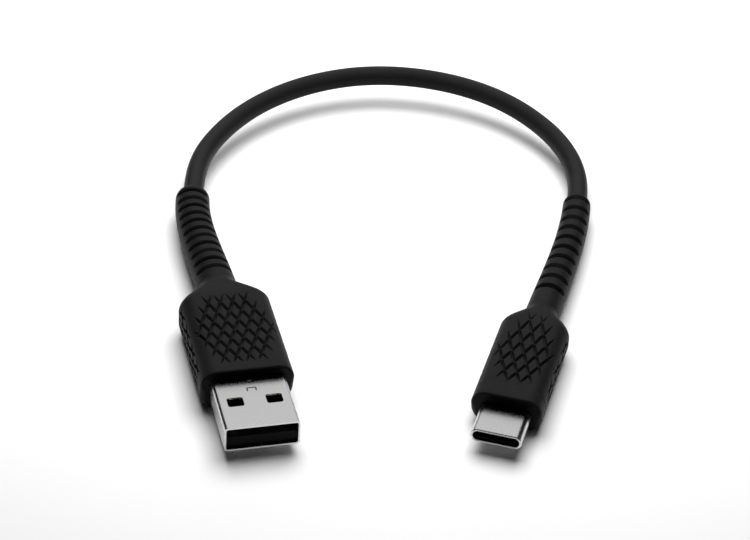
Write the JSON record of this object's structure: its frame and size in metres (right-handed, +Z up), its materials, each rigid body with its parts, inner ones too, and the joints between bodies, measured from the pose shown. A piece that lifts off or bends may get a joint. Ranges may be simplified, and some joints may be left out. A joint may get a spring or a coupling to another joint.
{
  "type": "charging cable",
  "caption": "Short stiff charging cable with a USB-A plug and a USB-C plug, moulded grips, slotted strain reliefs and one arched cord.",
  "frame": {"origin": "on the surface that both grips rest on, under the middle of the box round the two plugs and their strain reliefs", "axes": "+Z up, both plugs point towards -Y, USB-A on the -X side and USB-C on the +X side, and the cord arches away towards +Y"},
  "size_m": [0.0732, 0.1101, 0.0078],
  "materials": {
    "jacket": "matte elastomer",
    "grip": "matte soft-touch elastomer",
    "braid": "tinned copper braid",
    "red_insulation": "satin",
    "black_insulation": "satin",
    "green_insulation": "satin",
    "white_insulation": "satin",
    "shell_steel": "satin nickel plate",
    "spring_steel": "bright",
    "connector_plastic": "glass-filled nylon",
    "contact_gold": "gold plate",
    "inner_mould": "natural polyethylene",
    "circuit_board": "solder mask",
    "resistor": "ceramic chip",
    "capacitor": "ceramic chip"
  },
  "bodies": {
    "cord": {"outer_jacket": "jacket", "shield_braid": "braid", "power_wire": "red_insulation", "ground_wire": "black_insulation", "data_plus_wire": "green_insulation", "data_minus_wire": "white_insulation"},
    "usb_a_relief": {"usb_a_strain_relief": "grip", "usb_a_cable_run": "jacket"},
    "usb_a_plug": {"usb_a_shell": "shell_steel", "usb_a_tongue": "connector_plastic", "usb_a_power_contacts": "contact_gold", "usb_a_data_contacts": "contact_gold", "usb_a_inner_mould": "inner_mould", "usb_a_crimp_sleeve": "shell_steel", "usb_a_power_lead": "red_insulation", "usb_a_ground_lead": "black_insulation", "usb_a_data_plus_lead": "green_insulation", "usb_a_data_minus_lead": "white_insulation", "usb_a_grip": "grip"},
    "usb_c_relief": {"usb_c_strain_relief": "grip", "usb_c_cable_run": "jacket"},
    "usb_c_plug": {"usb_c_shell": "shell_steel", "usb_c_housing": "connector_plastic", "usb_c_upper_contacts": "contact_gold", "usb_c_lower_contacts": "contact_gold", "usb_c_ground_springs": "spring_steel", "usb_c_circuit_board": "circuit_board", "usb_c_resistor": "resistor", "usb_c_capacitor": "capacitor", "usb_c_inner_mould": "inner_mould", "usb_c_crimp_sleeve": "shell_steel", "usb_c_power_lead": "red_insulation", "usb_c_ground_lead": "black_insulation", "usb_c_data_plus_lead": "green_insulation", "usb_c_data_minus_lead": "white_insulation", "usb_c_grip": "grip"},
    "usb_c_latch_left": {"usb_c_left_latch": "spring_steel"},
    "usb_c_latch_right": {"usb_c_right_latch": "spring_steel"}
  },
  "joints": [
    {"name": "usb_a_swing", "type": "hinge", "parent": "cord", "child": "usb_a_relief", "pos_m": [-0.03183, 0.02242, 0.0039], "axis": [0, 0, 1], "range_deg": [-30, 8], "stiffness_Nm_per_rad": 0.05, "deforming": ["usb_a_strain_relief", "usb_a_cable_run"]},
    {"name": "usb_a_tilt", "type": "hinge", "parent": "usb_a_relief", "child": "usb_a_plug", "pos_m": [-0.02891, 0.01027, 0.0039], "axis": [0.9724, 0.2334, 0], "range_deg": [-20, 20], "stiffness_Nm_per_rad": 0.05, "deforming": ["usb_a_strain_relief", "usb_a_cable_run"]},
    {"name": "usb_c_swing", "type": "hinge", "parent": "cord", "child": "usb_c_relief", "pos_m": [0.0322, 0.02669, 0.00325], "axis": [0, 0, 1], "range_deg": [-8, 30], "stiffness_Nm_per_rad": 0.05, "deforming": ["usb_c_strain_relief", "usb_c_cable_run"]},
    {"name": "usb_c_tilt", "type": "hinge", "parent": "usb_c_relief", "child": "usb_c_plug", "pos_m": [0.02912, 0.01129, 0.00325], "axis": [0.9806, -0.196, 0], "range_deg": [-20, 20], "stiffness_Nm_per_rad": 0.05, "deforming": ["usb_c_strain_relief", "usb_c_cable_run"]},
    {"name": "usb_c_left_latch_flex", "type": "hinge", "parent": "usb_c_plug", "child": "usb_c_latch_left", "pos_m": [0.01911, -0.01881, 0.00325], "axis": [0, 0, 1], "range_deg": [-1.5, 0], "stiffness_Nm_per_rad": 0.00002},
    {"name": "usb_c_right_latch_flex", "type": "hinge", "parent": "usb_c_plug", "child": "usb_c_latch_right", "pos_m": [0.02534, -0.02027, 0.00325], "axis": [0, 0, 1], "range_deg": [0, 1.5], "stiffness_Nm_per_rad": 0.00002}
  ]
}
